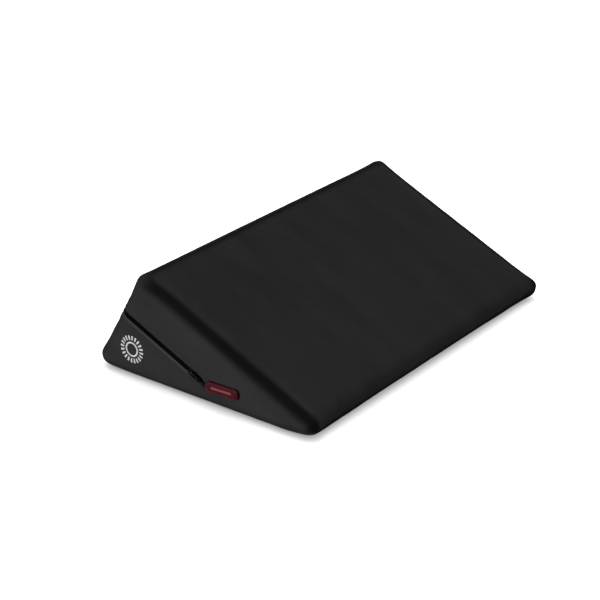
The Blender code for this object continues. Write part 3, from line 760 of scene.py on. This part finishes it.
def dressed(bm, away, upper=None):
    """Give a plain panel its form: filled, drawn in at the seams, folded along the zip."""
    bmesh.ops.recalc_face_normals(bm, faces=bm.faces[:])
    bm.normal_update()
    middle = Vector((0, 0, HEIGHT / 3))
    sample = max(bm.faces, key=lambda f: f.calc_area())
    if sample.normal.dot(sample.calc_center_median() - middle) < 0:
        bmesh.ops.reverse_faces(bm, faces=bm.faces[:])
        bm.normal_update()
    sign = 0 if upper is None else (1 if upper else -1)
    # This layer carries the share of painted shade beside the seams
    lie = bm.verts.layers.float.new(SEAM_SHADE_LAYER)
    places = []
    folds = set()
    for v in bm.verts:
        base = v.co.copy()
        v[lie] = seam_shade_share(base, v[away])
        lift = seam_lift(v[away], base)
        shift = Vector()
        if sign:
            rise = zip_rise(base) * sign
            half = slot_half(zip_along(base))
            lift += hem_lift(rise, zip_along(base)) if rise < HEM_REACH else 0.0
            shift = UP_BACK * sign * half * max(0.0, 1 - rise / HEM_REACH)
            if rise < AT_FOLD:
                folds.add(v)
        places.append(soften(base + shift) + swell(base) + v.normal * lift)
    for v, place in zip(bm.verts, places):
        v.co = place
    rim = [e for e in bm.edges if e.is_boundary]
    if not sign:
        tucked(bm, rim, SEAM_TUCK)
        return
    hem = [e for e in rim if e.verts[0] in folds and e.verts[1] in folds]
    rest = [e for e in rim if e not in hem]
    tucked(bm, rest, SEAM_TUCK)
    bm.normal_update()
    tucked(bm, [e for e in hem if e.is_valid], HEM_TUCK)


def spread(bm, along, across):
    """Size of a plain panel laid flat: its two sides, and its area."""
    lengths = [v.co.dot(along) for v in bm.verts]
    widths = [v.co.dot(across) for v in bm.verts]
    return (max(widths) - min(widths), max(lengths) - min(lengths)), sum(f.calc_area() for f in bm.faces)


def cover_panel(name, finish, slot, bm, away, flat_size, flat_area=None, upper=None):
    """One sewn panel of the cover, stretched over the foam."""
    dressed(bm, away, upper)
    made = piece(name + "_cloth", as_mesh(name + "_cloth", bm), finish, "wedge", [name])


# Depth of the foam under the cover's face, and what more is cut off at its edges, the tapes and the slider
FOAM_DEEP = 3.0 * MM
EDGE_CUT = 1.4 * MM
TAPE_BED = 0.7 * MM
TAPE_BED_HALF = 15 * MM
TAPE_BED_SLOPE = 4 * MM
SLIDER_BED = 2.4 * MM
SLIDER_BED_HALF = 8 * MM
SLIDER_BED_SLOPE = 2.5 * MM


def foam_block():
    """The foam: it fills the cover, cut back where the seams turn in and grooved under the zip."""
    bm = plain_skin(8 * MM)
    for row in (-19, -15, -10.5, -8, 8, 10.5, 15, 19):
        score(bm, row, TOP_OUT)
    bm.normal_update()
    places = []
    for v in bm.verts:
        square = max([abs(v.normal.x)] + [v.normal.dot(f) for f in FACES])
        depth = FOAM_DEEP + EDGE_CUT * min(1.0, (1 - square) / 0.08)
        if abs(v.normal.x) > 0.5 or v.normal.dot(BACK_OUT) > 0.7:
            rise = abs(zip_rise(v.co))
            depth += TAPE_BED * (1 - ramp(rise, TAPE_BED_HALF, TAPE_BED_SLOPE))
            depth += SLIDER_BED * (1 - ramp(rise, SLIDER_BED_HALF, SLIDER_BED_SLOPE))
        places.append(soften(v.co) + swell(v.co) - v.normal * depth)
    for v, place in zip(bm.verts, places):
        v.co = place
    made = piece("foam_block", as_mesh("foam_block", bm), FOAM, "wedge", ["foam_core"])


foam_block()
cover_panel(
    "top_panel", MICROFIBRE, "cover", *panel_between_seams(TOE_SEAM, APEX_SEAM),
    (2 * SEAM_AT, APEX_SEAM - TOE_SEAM))
cover_panel(
    "base_panel", BASE_WEAVE, "base_cloth", *panel_between_seams(HEEL_SEAM, GIRTH + TOE_SEAM),
    (2 * SEAM_AT, GIRTH + TOE_SEAM - HEEL_SEAM))
for half in ("upper", "lower"):
    for face in ("left", "back", "right"):
        if face == "back":
            bm, away = panel_between_seams(APEX_SEAM, HEEL_SEAM)
            ways = ACROSS, UP_BACK
        else:
            bm, away = panel_of_side(-1 if face == "left" else 1)
            ways = UP_SLOPE, TOP_OUT
        halved(bm, half == "upper")
        size, area = spread(bm, *ways)
        cloth = MICROFIBRE if half == "upper" else HEM_LIT_MICROFIBRE
        if (face, half) == ("left", "lower"):
            cloth = PRINTED_MICROFIBRE
        cover_panel(
            face + "_" + half + "_panel", cloth, "cover", bm, away, size,
            min(area, size[0] * size[1]), half == "upper")


# Zip
ZIP_PIVOT = CENTRES[2] - UP_BACK * (zip_rise(CENTRES[2]) / UP_BACK.dot(TOP_OUT))
SIDE_RUN = zip_along(ZIP_PIVOT) - ZIP_FRONT
CORNER_RUN = EDGE_RADIUS * QUARTER
ZIP_LONG = 2 * (SIDE_RUN + CORNER_RUN + CORE)


def zip_place(run, depth, rise):
    """Point of the zip: distance from its left front end, depth in the cover, rise from its middle."""
    hand = -1 if run < ZIP_LONG / 2 else 1
    run = min(run, ZIP_LONG - run)
    lean = min(1.0, max(0.0, run - SIDE_RUN) / CORNER_RUN) * QUARTER
    past = max(0.0, run - SIDE_RUN - CORNER_RUN)
    out = ACROSS * hand * math.cos(lean) + BACK_OUT * math.sin(lean)
    spot = ACROSS * hand * (CORE - past) + ZIP_PIVOT + UP_SLOPE * min(0.0, run - SIDE_RUN)
    spot += out * (EDGE_RADIUS - depth)
    spot -= UP_BACK * (zip_rise(spot) / UP_BACK.dot(TOP_OUT))
    return soften(spot + UP_BACK * rise), out


def zip_stations(start, end, step):
    """Distances along the zip, closer together where it rounds the back corners."""
    stations = []
    run = start
    while run < end:
        stations.append(run)
        near = min(run, ZIP_LONG - run)
        run += step / 3 if SIDE_RUN - step < near < SIDE_RUN + CORNER_RUN + step else step
    return stations + [end]


def round_turns(count):
    return [2 * math.pi * k / count for k in range(count)]


def tube(bm, rings):
    """Closed tube through rings of points."""
    loops = [[bm.verts.new(p) for p in ring] for ring in rings]
    web(bm, loops)
    bm.faces.new(list(reversed(loops[0])))
    bm.faces.new(loops[-1])


def wire(bm, path, radii, sides):
    """Round wire along a path of points."""
    rings = []
    for k, spot in enumerate(path):
        way = (path[min(k + 1, len(path) - 1)] - path[max(k - 1, 0)]).normalized()
        first = way.orthogonal().normalized() if k == 0 else (first - way * first.dot(way)).normalized()
        second = way.cross(first)
        rings.append([
            spot + (first * math.cos(t) + second * math.sin(t)) * radii[k] for t in round_turns(sides)])
    tube(bm, rings)


def zip_strip(name, outline, start, end, finish, stands_for):
    """A strip along the zip, with an outline of rise and depth in millimetres."""
    bm = bmesh.new()
    rings = []
    for run in zip_stations(start, end, ZIP_STEP):
        rings.append([zip_place(run, depth * MM, rise * MM)[0] for rise, depth in outline])
    tube(bm, rings)
    return piece(name, closed_mesh(name, bm), finish, "wedge", stands_for)


def zip_tape(half, hand):
    """One woven tape of the zip, with a corded edge beside the row."""
    outline = (
        (0.95, 2.42), (1.4, 2.34), (2.4, 2.34), (3.2, 2.46), (8.0, 2.50), (13.2, 2.46), (13.9, 2.66),
        (13.2, 2.90), (8.0, 2.90), (3.2, 2.92), (2.4, 2.98), (1.4, 2.98), (0.95, 2.88))
    name = "zip_tape_" + half
    made = zip_strip(
        name + "_weave", [(hand * rise, depth) for rise, depth in outline],
        0.0, ZIP_LONG, TAPE_WEAVE, [name])


# The wound rows: their wire, the form of their loops, and how far these lie from the zip's middle
COIL_PITCH = 1.6 * MM
COIL_POINTS = 6
COIL_WIRE = 0.29 * MM
LOOP_HALF = 0.86 * MM
LOOP_DEEP = 1.20 * MM
LOOP_HALF_THICK = 0.50 * MM
ROW_APART = 1.85 * MM
ROW_CLOSER = 1.05 * MM
ROW_CLOSING = 12 * MM


def zip_coil(half, hand):
    """One wound row of the zip, with its loops beside those of the other row."""
    bm = bmesh.new()
    turns = int((ZIP_LONG - 2 * COIL_START) / COIL_PITCH)
    shift = 0.0 if hand > 0 else COIL_PITCH / 2
    path = []
    for k in range(COIL_POINTS * turns - 3):
        turn = 2 * math.pi * k / COIL_POINTS
        run = COIL_START + shift + COIL_PITCH * k / COIL_POINTS
        # The loops mesh beyond the slider's way, and stand apart on it
        middle = ROW_APART - ROW_CLOSER * ramp(run, ZIP_TRAVEL, ROW_CLOSING)
        rise = middle + LOOP_HALF * math.cos(turn)
        depth = LOOP_DEEP - LOOP_HALF_THICK * math.sin(turn)
        path.append(zip_place(run, depth, hand * rise)[0])
    wire(bm, path, [COIL_WIRE] * len(path), 5)
    name = "zip_coil_" + half
    piece(name + "_turns", closed_mesh(name, bm), COIL_NYLON, "wedge", [name])


def stitch(bm, start, end, out):
    """One stitch: a short thread that dips into the cloth at both ends."""
    path = []
    radii = []
    for k in range(6):
        share = k / 5
        arch = math.sin(math.pi * share)
        path.append(start.lerp(end, share) + out * THREAD_HALF * (1.5 * arch - 1.1))
        radii.append(THREAD_HALF * (0.55 + 0.45 * arch))
    wire(bm, path, radii, 6)


def hem_stitches(half, hand):
    """A row of topstitching that holds the hem to the tape, the whole way round."""
    bm = bmesh.new()
    for k in range(int(ZIP_LONG / STITCH_PITCH)):
        run = STITCH_PITCH * (k + 0.2)
        ends = []
        for place in (run, run + STITCH_LONG):
            wide = slot_half(ZIP_FRONT + min(place, ZIP_LONG - place))
            rise = STITCH_LINE + wide * (1 - STITCH_LINE / HEM_REACH)
            ends.append(zip_place(min(place, ZIP_LONG), STITCH_DENT, hand * rise))
        stitch(bm, ends[0][0], ends[1][0], ends[0][1])
    name = "hem_stitches_" + half
    piece(name, closed_mesh(name, bm), THREAD, "wedge", [])


# Close stitches at the front ends of the zip
TACK_COUNT = 7
TACK_AHEAD = 15 * MM
TACK_PITCH = 0.62 * MM
TACK_HALF = 3.6 * MM
TACK_LEAN = 0.25 * MM


def bar_tacks():
    """Close stitches across both front ends of the zip, where the hems meet."""
    bm = bmesh.new()
    for hand in (-1, 1):
        for k in range(TACK_COUNT):
            spot = ZIP_ORIGIN + UP_SLOPE * (ZIP_FRONT - TACK_AHEAD + TACK_PITCH * k)
            spot += ACROSS * hand * (WIDTH / 2)
            reach = TOP_OUT * TACK_HALF + UP_SLOPE * TACK_LEAN * (-1) ** k
            stitch(bm, spot - reach, spot + reach, ACROSS * hand)
    piece("bar_tacks", closed_mesh("bar_tacks", bm), THREAD, "wedge", [])


def zip_guard():
    """Strip of woven tape behind the zip, which keeps the foam from the slider."""
    outline = (
        (-7.0, 5.10), (0.0, 5.02), (7.0, 5.10), (7.3, 5.25), (7.0, 5.40), (0.0, 5.34), (-7.0, 5.40),
        (-7.3, 5.25))
    made = zip_strip(
        "zip_guard", outline, -GUARD_PAST, ZIP_LONG + GUARD_PAST, TAPE_WEAVE, [])


zip_guard()
for half, hand in (("upper", 1), ("lower", -1)):
    zip_tape(half, hand)
    zip_coil(half, hand)
    hem_stitches(half, hand)
bar_tacks()


# Pull grip, with its main sizes repeated from the CAD in metres
GRIP_START = 0.0026
GRIP_LONG = 0.0600
GRIP_HALF = 0.0085
GRIP_THICK = 0.0023
GRIP_CORNER = 0.0060
GRIP_SEAT = (0.0256, 0.0, 0.0037)
GRIP_TURN = math.radians(26.5)
INLAY_LONG = 0.0380
INLAY_HALF = 0.0021
EYE_RADIUS = 0.0022

# Form of the grip's ends, trough, bar and lug
GRIP_END_THIN = 0.35
GRIP_END_RUN = 5 * MM
TROUGH_GAP = 0.25 * MM
TROUGH_SHARE = 0.28
TROUGH_FLOOR = 1.25 * MM
BAR_RISE = 1.85 * MM
BAR_UP = 0.55 * MM
BAR_DOWN = 0.45 * MM
BAR_STEPS = 20
BAR_SIDES = 14
LUG_RADIUS = 3.55 * MM
LUG_HALF = 0.75 * MM
LUG_STEPS = 28
LUG_SIDES = 10
NECK_SIDES = 16


def grip_frame():
    """Where the grip hangs from its link: along it, across it and out of the side."""
    turn = Matrix((-UP_SLOPE, TOP_OUT, -ACROSS)).transposed()
    spot = ZIP_ORIGIN + UP_SLOPE * (ZIP_FRONT + SLIDER_AT) - ACROSS * (WIDTH / 2) + turn @ Vector(GRIP_SEAT)
    return Matrix.Translation(spot) @ turn.to_4x4() @ Matrix.Rotation(GRIP_TURN, 4, "Z")


def grip_width(along):
    """Half width of the grip at a distance from its start, with rounded ends."""
    near = min(along, GRIP_LONG - along, GRIP_CORNER) / GRIP_CORNER
    return GRIP_HALF - GRIP_CORNER * (1 - math.sqrt(max(0.0, 1 - (1 - near) ** 2)))


def grip_thickness(along):
    """Half thickness of the grip at a distance from its start, thinner towards its ends."""
    near = min(1.0, min(along, GRIP_LONG - along) / GRIP_END_RUN)
    return GRIP_THICK * min(1.0, GRIP_END_THIN + (1 - GRIP_END_THIN) * math.sqrt(near))


def grip_shell():
    """Moulded bar with a domed face and a trough for the inlay."""
    bm = bmesh.new()
    shares = (1.0, 0.985, 0.95, 0.88, 0.77, 0.62, 0.46, 0.33, 0.292, 0.276, 0.14)
    across = list(shares) + [0.0] + [-v for v in reversed(shares)]
    middle = GRIP_LONG / 2
    trough = INLAY_LONG / 2 + TROUGH_GAP
    marks = [0.05, 0.4, 1.0, 1.9, 3.0, 4.4, 6.0, 8.0]
    stations = [m * MM for m in marks] + [middle - trough, middle - trough + 0.12 * MM]
    stations += [middle - trough + trough * k / 6 for k in range(1, 6)]
    stations = stations + [middle] + [GRIP_LONG - s for s in reversed(stations)]
    rings = []
    for along in stations:
        half = grip_width(along)
        thick = grip_thickness(along)
        ring = []
        for share in across:
            rise = thick * max(0.0, 1 - abs(share) ** 2.2) ** 0.5
            if abs(share) < TROUGH_SHARE and abs(along - middle) < trough - 0.05 * MM:
                rise = TROUGH_FLOOR
            ring.append(Vector((GRIP_START + along, share * half, rise)))
        for share in reversed(across[1:-1]):
            rise = -0.92 * thick * max(0.0, 1 - abs(share) ** 3.5) ** 0.5
            ring.append(Vector((GRIP_START + along, share * half, rise)))
        rings.append(ring)
    tube(bm, rings)
    mesh = closed_mesh("grip_moulding", bm, grip_frame())
    piece("grip_moulding", mesh, GRIP_RED, "grip", ["pull_grip"])


def grip_lug():
    """Enamelled lug set into the grip's end, with the eye that hangs on the link."""
    bm = bmesh.new()
    wide = (LUG_RADIUS - EYE_RADIUS) / 2
    loops = []
    for turn in round_turns(LUG_STEPS):
        way = Vector((math.cos(turn), math.sin(turn), 0))
        loop = []
        for lean in round_turns(LUG_SIDES):
            spot = way * (EYE_RADIUS + wide + wide * math.cos(lean))
            loop.append(bm.verts.new(spot + Vector((0, 0, LUG_HALF * math.sin(lean)))))
        loops.append(loop)
    web(bm, loops + loops[:1])
    neck = []
    for along, half in ((2.6, 2.2), (2.9, 3.1), (4.0, 3.5), (6.0, 3.6), (8.0, 3.6)):
        neck.append([
            Vector((along * MM, half * MM * math.cos(t), LUG_HALF * math.sin(t)))
            for t in round_turns(NECK_SIDES)])
    tube(bm, neck)
    piece("grip_lug", closed_mesh("grip_lug", bm, grip_frame()), ENAMEL, "grip", [])


def grip_bar():
    """Pale bar that fills the grip's trough, domed a little."""
    bm = bmesh.new()
    middle = GRIP_START + GRIP_LONG / 2
    rings = []
    for k in range(BAR_STEPS + 1):
        along = -1 + 2 * k / BAR_STEPS
        along = math.copysign(1 - (1 - abs(along)) ** 1.6, along)
        end = max(0.0, abs(along) * INLAY_LONG / 2 - INLAY_LONG / 2 + INLAY_HALF) / INLAY_HALF
        half = INLAY_HALF * math.sqrt(max(0.01, 1 - end * end))
        ring = []
        for turn in round_turns(BAR_SIDES):
            rise = BAR_RISE + (BAR_UP if math.sin(turn) > 0 else BAR_DOWN) * math.sin(turn)
            ring.append(Vector((middle + along * INLAY_LONG / 2, half * math.cos(turn), rise)))
        rings.append(ring)
    tube(bm, rings)
    mesh = closed_mesh("grip_bar", bm, grip_frame())
    piece("grip_bar", mesh, INLAY_PALE, "grip", ["grip_inlay"])


grip_shell()
grip_lug()
grip_bar()


# Slider, stops and pull keep their CAD forms
def refinish(finish, *names):
    for name in names:
        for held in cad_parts[name].material_slots:
            held.material = finish


refinish(
    ENAMEL, "slider_body", "slider_bridge", "pull_tab", "pull_link",
    "zip_top_stop_upper", "zip_top_stop_lower", "zip_bottom_stop")
refinish(SPRING_STEEL, "lock_spring")


# Camera, floor and light
PHOTO_WIDE = 600
PHOTO_FOCAL = 1778.0
SENSOR = 36.0
EYE = Vector((-2.02692, -1.48961, 1.21171))
LOOK = Vector((0.72404, 0.54781, -0.41914))
FLOOR_SEEN = "#F2F2F2"
FLOOR_BOUNCE = "#606060"
FLOOR_GLOW = 0.96
FLOOR_HALF = 9.0
FLOOR_DROP = 0.2 * MM
CONTACT_REACH = 0.042
CONTACT_SHADE = 0.24
ROOM_LIGHT = 0.32
# Place, aim, width and height in metres, and power in watts
LAMPS = (
    ("overhead_softbox", (-0.2, 0.4, 4.0), (0, 0, 0.1), (3.0, 3.0), 75),
    ("left_softbox", (-5.0, 1.6, 0.60), (-0.3, 0, 0.08), (2.4, 0.9), 300),
    ("right_softbox", (5.0, 2.0, 0.60), (0.3, 0, 0.08), (2.4, 0.9), 200),
    ("front_softbox", (-0.3, -2.4, 0.7), (0.0, -0.1, 0.1), (1.0, 1.0), 20),
)


def photo_view():
    """Camera at the photograph's viewing angle, with its focal length worked out from pixels."""
    data = bpy.data.cameras.new("photo_view")
    data.sensor_width = SENSOR
    data.lens = PHOTO_FOCAL / PHOTO_WIDE * SENSOR
    data.clip_end = 50.0
    cam = in_scene("photo_view", data)
    cam.matrix_world = Matrix.Translation(EYE) @ LOOK.to_track_quat("-Z", "Y").to_matrix().to_4x4()
    bpy.context.scene.camera = cam


def paper_floor():
    """Matt paper: white to the eye, mid grey to the light that it sends back, dark beside the object."""
    made, tree, shader, _ = finish_named("matt_paper_floor", Roughness=0.9, Specular_IOR_Level=0.0)
    path = add(tree, "ShaderNodeLightPath")
    seen = add(tree, "ShaderNodeMath", {
        0: path.outputs["Is Camera Ray"], 1: path.outputs["Is Glossy Ray"]}, operation="MAXIMUM")
    seen = add(tree, "ShaderNodeMath", {
        0: seen.outputs[0], 1: path.outputs["Is Transmission Ray"]}, operation="MAXIMUM")
    paper = add(tree, "ShaderNodeMix", {
        "Factor": seen.outputs[0], "A": linear(FLOOR_BOUNCE), "B": linear(FLOOR_SEEN)}, data_type="RGBA")
    # The shadow is deepest in the last 42 mm
    close = add(tree, "ShaderNodeAmbientOcclusion", {"Distance": CONTACT_REACH}, samples=12)
    dim = add(tree, "ShaderNodeMapRange", {
        "Value": close.outputs["AO"], "To Min": CONTACT_SHADE, "To Max": 1.0})
    paper = add(tree, "ShaderNodeMix", {
        "Factor": 1.0, "A": paper.outputs[2], "B": dim.outputs[0]}, data_type="RGBA", blend_type="MULTIPLY")
    tree.links.new(paper.outputs[2], shader.inputs["Base Color"])
    tree.links.new(paper.outputs[2], shader.inputs["Emission Color"])
    glow = add(tree, "ShaderNodeMath", {0: seen.outputs[0], 1: FLOOR_GLOW}, operation="MULTIPLY")
    tree.links.new(glow.outputs[0], shader.inputs["Emission Strength"])
    bm = bmesh.new()
    bmesh.ops.create_grid(bm, x_segments=2, y_segments=2, size=FLOOR_HALF)
    ground = in_scene("floor", as_mesh("floor", bm))
    ground.location.z = -FLOOR_DROP
    ground.data.materials.append(made)


def soft_room():
    """White room: full white to the eye, dimmer as light on the object, with soft lamps round it."""
    world = bpy.data.worlds.new("soft_room")
    world.use_nodes = True
    bpy.context.scene.world = world
    tree = world.node_tree
    room = tree.nodes["Background"]
    room.inputs["Color"].default_value = linear("#FFFFFF")
    path = add(tree, "ShaderNodeLightPath")
    seen = add(tree, "ShaderNodeMath", {
        0: path.outputs["Is Camera Ray"], 1: path.outputs["Is Transmission Ray"]}, operation="MAXIMUM")
    level = add(tree, "ShaderNodeMapRange", {"Value": seen.outputs[0], "To Min": ROOM_LIGHT, "To Max": 1.0})
    tree.links.new(level.outputs[0], room.inputs["Strength"])
    for name, spot, aim, size, power in LAMPS:
        data = bpy.data.lights.new(name, "AREA")
        data.shape = "RECTANGLE"
        data.size, data.size_y = size
        data.energy = power
        lamp = in_scene(name, data)
        lamp.location = spot
        lamp.rotation_euler = (Vector(aim) - Vector(spot)).to_track_quat("-Z", "Y").to_euler()


photo_view()
paper_floor()
soft_room()
bpy.context.scene.view_settings.view_transform = "Standard"
